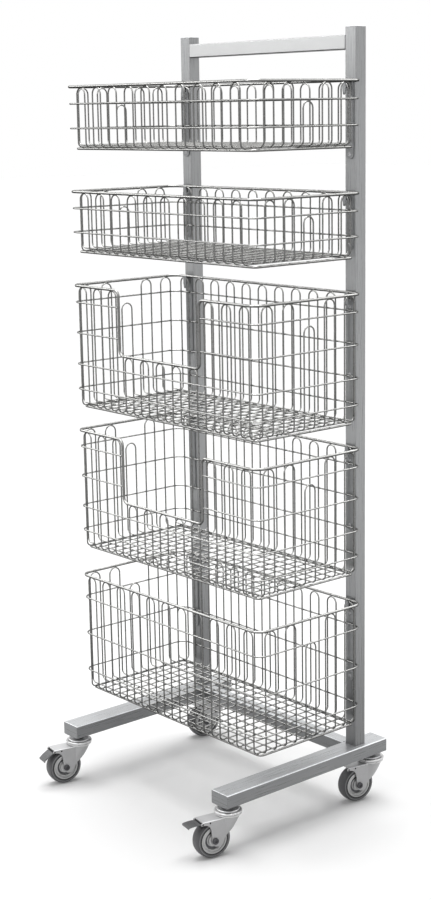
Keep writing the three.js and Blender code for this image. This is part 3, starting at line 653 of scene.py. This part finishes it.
def build_basket(level):
    """Rings, then the loops from front to back, then those from side to side, whose middle one is a grip."""
    rim, make = RIMS[level], KINDS[level]
    cut = rim if make["cut"] else None
    bottom = rim - make["depth"]
    floor = bottom + BOTTOM_R + LEG_R - WELD_BITE
    mid_inset = LEG_INSET - LEG_R - MID_R + WELD_BITE
    runs = [ring(0, rim, RIM_R, cut), ring(BOTTOM_INSET, bottom, BOTTOM_R)]
    runs += [ring(mid_inset, rim - drop, MID_R, cut if drop < CUT_DEPTH else None) for drop in make["mids"]]
    count, gap = make["front"]
    reach, top = BASKET_DEPTH / 2 - LEG_INSET, rim - ARCH_DROP
    for i in range(count):
        middle = (i - (count - 1) / 2) * 2 * gap
        under = cut is not None and abs(middle) < CUT_WIDTH / 2
        front_top = top - (CUT_DEPTH if under else 0)
        runs.append(hairpin(middle, gap, reach, floor, front_top, top, lambda u, s, z: (u, s, z)))
    count, gap = make["side"]
    reach, crossing = BASKET_WIDTH / 2 - LEG_INSET, floor + 2 * LEG_R - WELD_BITE
    for i in range(count):
        middle = (i - (count - 1) / 2) * 2 * gap
        top = rim - (make["grip"] if i == (count - 1) / 2 else ARCH_DROP)
        runs.append(hairpin(middle, gap, reach, crossing, top, top, lambda u, s, z: (s, u, z)))
    placed = [([(x, y + BASKET_Y, z) for x, y, z in pts], r, c) for pts, r, c in runs]
    name = f"basket_{level + 1}"
    wires(f"{name}_wires", placed, WIRE, name, [name])


# Casters

def on_axle(shell):
    """Lays a shell that was turned about Z on the wheel's axle."""
    return moved(shell, Matrix.Translation((0, -TRAIL, WHEEL_R)) @ ALONG_X)


def head_shells():
    """The ball race, the disc above it with the rivet inside the fork, and the nut under the foot."""
    low = BOWL_TOP + HEAD_GAP
    race = [(0, low), (RACE_R - 1.8, low)] + arc(RACE_R - RACE_ROLL, low + RACE_ROLL, RACE_ROLL, -50, 80, 8)
    race += [(RACE_R - 4.6, low + RACE_H + 0.5), (RACE_R - 5.6, low + RACE_H), (0, low + RACE_H)]
    top = low + DISC_H
    disc = [(0, low + DISC_LOW), (RACE_R - 6.4, low + DISC_LOW), (RACE_R - 5.6, low + DISC_LOW + 1.4)]
    disc += arc(RACE_R - 8, top - 3, RACE_ROLL, 10, 85, ROLL_STEPS)
    disc += [(RACE_R - 10, top - DISC_DISH), (0, top - DISC_DISH)]
    nut_top = FOOT_TOP - FOOT_HEIGHT - NUT_SUNK
    nut = [(0, top - 1), (NUT_R, top - 1), (NUT_R, nut_top), (0, nut_top)]
    under = FORK_TOP - FORK_T - 0.3
    rivet = [(0, under - RIVET_H), (RIVET_TIP_R, under - RIVET_H), (RIVET_R, under - 2), (RIVET_R, under)]
    rivet += [(RIVET_NECK_R, under), (RIVET_NECK_R, low + 0.1), (0, low + 0.1)]
    return [lathe(race, ROUND)], [lathe(disc, ROUND), lathe(rivet, SMALL_ROUND)], [lathe(nut, HEXAGON)]


def leg_outline():
    """A leg of the fork as (y, z) points: the crease, the boss round the axle, the end behind the wheel."""
    top, boss = FORK_TOP - FORK_T, -TRAIL + BOSS_FORWARD
    outline = [(-CREASE + 0.5, top), (-CREASE + 0.5, WALL_LOW), LEG_NECK]
    outline += arc(boss, WHEEL_R, BOSS_R, -15, -185, BOSS_STEPS) + list(LEG_BACK)
    return outline + [(y - FORK_END, z) for y, z in LEG_END] + [(-FORK_END, top)]


def wall_middle(z):
    """How far behind the swivel axis the front wall's circle has its middle at a height."""
    down = (WALL_TOP - z) / (WALL_TOP - WALL_LOW)
    return CREASE * down * (WALL_BOW + (1 - WALL_BOW) * down)


def wall_point(turn, z, thickness):
    """A point of the front wall: turn runs from -1 at one crease to 1 at the other."""
    middle = wall_middle(z)
    outer = FORK_IN + FORK_T
    half = math.pi / 2 + math.atan2(CREASE - middle, outer)
    radius = math.hypot(outer, CREASE - middle) - thickness
    return (radius * math.sin(turn * half), radius * math.cos(turn * half) - middle, z)


def wall_foot(turn):
    """The height at which the wall ends. Its lower edge climbs towards the front and is found in rounds."""
    z = WALL_LOW
    for _ in range(WALL_ROUNDS):
        z = (z + WALL_LOW + WALL_CLIMB * (wall_point(turn, z, 0)[1] + CREASE)) / 2
    return z


def front_wall():
    """The pressed front of the fork, which narrows from the bowl down to the legs."""
    turns = [k / WALL_COLUMNS for k in range(-WALL_COLUMNS, WALL_COLUMNS + 1)]
    rows = [r / WALL_ROWS for r in range(WALL_ROWS + 1)]
    feet = [wall_foot(turn) for turn in turns]

    def sheet(thickness):
        return [
            [
                wall_point(turn, WALL_TOP + (foot - WALL_TOP) * row, thickness)
                for turn, foot in zip(turns, feet)
            ]
            for row in rows
        ]

    return loft([out + back[::-1] for out, back in zip(sheet(0), sheet(FORK_T))])


def fork_shells():
    """The two legs, the roof between them, which stops short of the pedal's slot, and the front wall."""
    outer, low, bend = FORK_IN + FORK_T, FORK_TOP - FORK_T - ROOF_LAP, ROOF_BEND
    roof = [(-outer, low)] + arc(-outer + bend, FORK_TOP - bend, bend, 180, 90, BEND_STEPS)
    roof += arc(outer - bend, FORK_TOP - bend, bend, 90, 0, BEND_STEPS) + [(outer, low)]
    return [
        plate(leg_outline(), -outer, -FORK_IN, FORK_EDGE, sideways),
        plate(leg_outline(), FORK_IN, outer, FORK_EDGE, sideways),
        plate(roof, -FORK_END + SLOT, ROOF_FRONT, FORK_EDGE, lengthways),
        front_wall(),
    ]


def bowl_shell():
    """The fork's upper half of the ball bearing, with a rolled edge and a shallow dish."""
    under, dish = FORK_TOP - FORK_T, BOWL_TOP - BOWL_DISH
    bowl = [(0, under), (BOWL_R - 4.4, under), (BOWL_R - 2.6, FORK_TOP - 0.2)]
    bowl += arc(BOWL_R - BOWL_ROLL, BOWL_TOP - BOWL_ROLL, BOWL_ROLL, -30, 90, ROLL_STEPS)
    bowl += [(BOWL_R - 3.4, BOWL_TOP), (BOWL_R - 4, dish), (0, dish)]
    return lathe(bowl, ROUND)


def both_sides(right, segments):
    """A turning that is the same on both sides of the wheel's middle."""
    return lathe(right + [(r, -z) for r, z in reversed(right)], segments)


def tyre_shell():
    half, seat = WHEEL_W / 2, WHEEL_R - TYRE
    right = [(seat + step, half * share) for step, share in TYRE_WALL]
    right += [(WHEEL_R - step, half * share) for step, share in TYRE_TREAD]
    return both_sides(right, TYRE_ROUND)


def hub_shell():
    half, outer = WHEEL_W / 2, WHEEL_R - TYRE - HUB_GAP
    right = [(outer - step, half * share) for step, share in HUB_FACE]
    right += [(radius, half * share) for radius, share in HUB_BOSS]
    return both_sides(right, ROUND)


def face_rings(inner, outer, face, height):
    """A thin ring on each side face of the wheel."""
    shells = []
    for s in (1, -1):
        low, high = s * (face - height), s * face
        shells.append(on_axle(lathe([(inner, low), (outer, low), (outer, high), (inner, high)], ROUND)))
    return shells


def bolt_shells():
    """The axle bolt: a socket head on each side and the shaft between them."""
    out = FORK_IN + FORK_T + BOLT_GAP
    shells = [lathe([(r, s * (out + step)) for r, step in BOLT_HEAD], BOLT_ROUND) for s in (1, -1)]
    shells.append(lathe([(0, -out), (SHAFT_R, -out), (SHAFT_R, out), (0, out)], SMALL_ROUND))
    return [on_axle(shell) for shell in shells]


def hole_shade_shells():
    """Dark spots: painted shade in the holes of the fork's rear ends."""
    shells = []
    for y in FLANGE_HOLES:
        for s in (1, -1):
            spot = Matrix.Translation((s * (FORK_IN + FORK_T), y, PIVOT_Z + HOLE_RISE)) @ ALONG_X
            low, high = s * -HOLE_T, s * HOLE_LIFT
            hole = lathe([(0, low), (HOLE_R, low), (HOLE_R, high), (0, high)], TINY_ROUND)
            shells.append(moved(hole, spot))
    return shells


def pedal_height(y):
    """The height of the pedal's upper face, which droops, before its crown is added."""
    return PEDAL_T / 2 + y * PEDAL_DROOP


def pedal_shells():
    """The pedal's plate with its lip, and the ribs across it."""
    half = PEDAL_W / 2
    top, under = [], []
    for i in range(PEDAL_STEPS + 1):
        y = -SLOT - (PEDAL_L - SLOT) * i / PEDAL_STEPS
        curve = PEDAL_CROWN * math.sin(math.pi * i / PEDAL_STEPS)
        top.append((y, pedal_height(y) + curve))
        under.append((y, pedal_height(y) - PEDAL_T + curve))
    tip = -PEDAL_L * PEDAL_DROOP
    lip = [(-PEDAL_L + v, tip + w) for v, w in LIP]
    shells = [plate(top + lip + under[::-1], -half, half, PEDAL_EDGE, sideways)]
    for k in range(PEDAL_RIBS):
        y = -PEDAL_L * (RIB_START_SHARE + RIB_PITCH_SHARE * k)
        z = pedal_height(y) + PEDAL_CROWN * math.sin(math.pi * -y / PEDAL_L)
        rib = [(y + v, z + w) for v, w in RIB]
        shells.append(plate(rib, -half + RIB_INSET, half - RIB_INSET, THIN_EDGE, sideways))
    return shells


def pedal_root_shells():
    """The shoe that presses on the tyre, the web that carries the pedal, the barrel and its pivot pin."""
    half = PEDAL_W / 2
    shells = [
        plate(outline, -half * share, half * share, edge, sideways)
        for outline, share, edge in ((SHOE, SHOE_SHARE, SHOE_EDGE), (WEB, WEB_SHARE, THIN_EDGE))
    ]
    for radius, reach, segments in ((BARREL_R, half, SMALL_ROUND), (PIN_R, FORK_IN - PIN_GAP, TINY_ROUND)):
        rod = lathe([(0, -reach), (radius, -reach), (radius, reach), (0, reach)], segments)
        shells.append(moved(rod, ALONG_X))
    return shells


def build_caster(side, sign, end, y):
    name, caster = f"{end}_{side}", f"caster_{end}_{side}"
    place = Matrix.Translation((sign * POST_X, y, 0)) @ Matrix.Rotation(CASTER_TURN, 4, "Z")
    fork, wheel = f"fork_{name}", f"wheel_{name}"
    race, disc, nut = head_shells()
    # shells, finish, body, slot, the node that a piece stands for, and the angle above which it stays sharp
    pieces = {
        "head": (race, RACE, "frame", "zinc", "caster_head", SHARP),
        "disc": (disc, ZINC, "frame", "zinc", None, SHARP),
        # the nut is a real part, and its dark bolt tone is painted shade in the gap under the foot
        "nut": (nut, BOLT, "frame", "zinc", None, SHARP),
        "fork": (fork_shells(), ZINC, fork, "zinc", "caster_fork", SHARP_FORK),
        "bowl": ([bowl_shell()], RACE, fork, "zinc", None, SHARP),
        "flange_hole_shade": (hole_shade_shells(), PAINTED_SHADE, fork, "zinc", None, SHARP),
        "tyre": ([on_axle(tyre_shell())], TYRE_RUBBER, wheel, "tyre", "wheel_tyre", SHARP),
        "hub": ([on_axle(hub_shell())], HUB, wheel, "hub", "wheel_hub", SHARP_HUB),
        "rim_groove_shade": (face_rings(*RIM_GROOVE), PAINTED_SHADE, wheel, "tyre", None, SHARP),
        "hub_well_shade": (face_rings(*HUB_WELL), BOLT, wheel, "hub", None, SHARP),
        "tyre_ridge_highlight": (face_rings(*TYRE_RIDGE), RIDGE_HIGHLIGHT, wheel, "tyre", None, SHARP),
        "bolt": (bolt_shells(), BOLT, fork, "caster_steel", "axle_bolt", SHARP),
    }
    for label, (shells, finish, body, slot, node, sharp) in pieces.items():
        nodes = [f"{node}_{name}"] if node else []
        piece(f"{caster}_{label}", shells, finish, body, nodes, place, sharp)
    if end == "front":
        # in the photograph the left pedal is pressed down and the right one is up
        down = BRAKE_TURN if side == "left" else 0.0
        seat = place @ Matrix.Translation((0, PIVOT_Y, PIVOT_Z)) @ Matrix.Rotation(down, 4, "X")
        pedal, steel = f"pedal_{name}", "caster_steel"
        piece(f"{caster}_pedal", pedal_shells(), PEDAL, pedal, [f"brake_pedal_{name}"], seat)
        # the shoe, web, barrel and pin are real parts, and their black is painted shade in the pedal's slot
        piece(f"{caster}_pedal_root", pedal_root_shells(), PAINTED_SHADE, pedal, [], seat)


# Floor, light and camera

def shown_rays(nodes, links):
    """1 for the rays that show a surface or the sky: from the camera, off gloss and through glass."""
    path = nodes.new("ShaderNodeLightPath")
    seen = math_node(nodes, links, "MAXIMUM", path.outputs["Is Camera Ray"], path.outputs["Is Glossy Ray"])
    return math_node(nodes, links, "MAXIMUM", seen, path.outputs["Is Transmission Ray"])


def build_floor():
    data = bpy.data.meshes.new("floor")
    s = FLOOR_HALF
    data.from_pydata([(-s, -s, 0), (s, -s, 0), (s, s, 0), (-s, s, 0)], [], [(0, 1, 2, 3)])
    floor = link("floor", data)
    mat = bpy.data.materials.new("pale_floor")
    mat.use_nodes = True
    nodes, links = mat.node_tree.nodes, mat.node_tree.links
    shader = nodes["Principled BSDF"]
    shader.inputs["Base Color"].default_value = (FLOOR_TONE, FLOOR_TONE, FLOOR_TONE, 1)
    shader.inputs["Roughness"].default_value = 0.9
    shader.inputs["Specular IOR Level"].default_value = 0.0
    glow = nodes.new("ShaderNodeEmission")
    share = math_node(nodes, links, "MULTIPLY", shown_rays(nodes, links), FLOOR_GLOW)
    links.new(share, glow.inputs["Strength"])
    both = nodes.new("ShaderNodeAddShader")
    links.new(shader.outputs[0], both.inputs[0])
    links.new(glow.outputs[0], both.inputs[1])
    links.new(both.outputs[0], nodes["Material Output"].inputs["Surface"])
    data.materials.append(mat)


def build_world():
    world = bpy.data.worlds.new("studio")
    bpy.context.scene.world = world
    world.use_nodes = True
    nodes, links = world.node_tree.nodes, world.node_tree.links
    fill, shown = nodes["Background"], nodes.new("ShaderNodeBackground")
    for sky, strength in ((fill, FILL_LIGHT), (shown, 1.0)):
        sky.inputs["Color"].default_value = (1, 1, 1, 1)
        sky.inputs["Strength"].default_value = strength
    mix = nodes.new("ShaderNodeMixShader")
    links.new(shown_rays(nodes, links), mix.inputs["Fac"])
    links.new(fill.outputs[0], mix.inputs[1])
    links.new(shown.outputs[0], mix.inputs[2])
    links.new(mix.outputs[0], nodes["World Output"].inputs["Surface"])


def build_lights():
    data = bpy.data.lights.new("overhead", "SUN")
    data.energy = SUN_POWER
    data.angle = math.radians(SUN_ANGLE)
    link("overhead", data).rotation_euler = [math.radians(a) for a in SUN_TILT]
    for name, (at, towards, width, height, power) in PANELS.items():
        data = bpy.data.lights.new(name, "AREA")
        data.shape = "RECTANGLE"
        data.size, data.size_y = width, height
        data.energy = power
        lamp = link(name, data)
        lamp.location = at
        lamp.rotation_euler = (Vector(towards) - Vector(at)).to_track_quat("-Z", "Y").to_euler()


def build_camera():
    azimuth, elevation, roll = (math.radians(a) for a in CAMERA_TURN)
    back = Vector((
        math.sin(azimuth) * math.cos(elevation),
        -math.cos(azimuth) * math.cos(elevation),
        math.sin(elevation),
    ))
    right = (-back).cross(Vector((0, 0, 1))).normalized()
    up = right.cross(-back)
    across = right * math.cos(roll) + up * math.sin(roll)
    above = up * math.cos(roll) - right * math.sin(roll)
    data = bpy.data.cameras.new("camera")
    data.sensor_width = CAMERA_SENSOR
    data.lens = CAMERA_LENS
    data.clip_start, data.clip_end = CAMERA_CLIP
    camera = link("camera", data)
    turn = Matrix((across, above, back)).transposed().to_4x4()
    x, y, z = CAMERA_AT
    camera.matrix_world = Matrix.Translation((x, FRONT_Y * MM + y, z)) @ turn
    bpy.context.scene.camera = camera


build_camera()
build_frame()
for level in range(len(RIMS)):
    build_basket(level)
    for side, sign in SIDES:
        build_bracket(level, side, sign)
for side, sign in SIDES:
    for end, y in CASTER_Y:
        build_caster(side, sign, end, y)
build_floor()
build_world()
build_lights()
bpy.context.scene.view_settings.view_transform = "Standard"
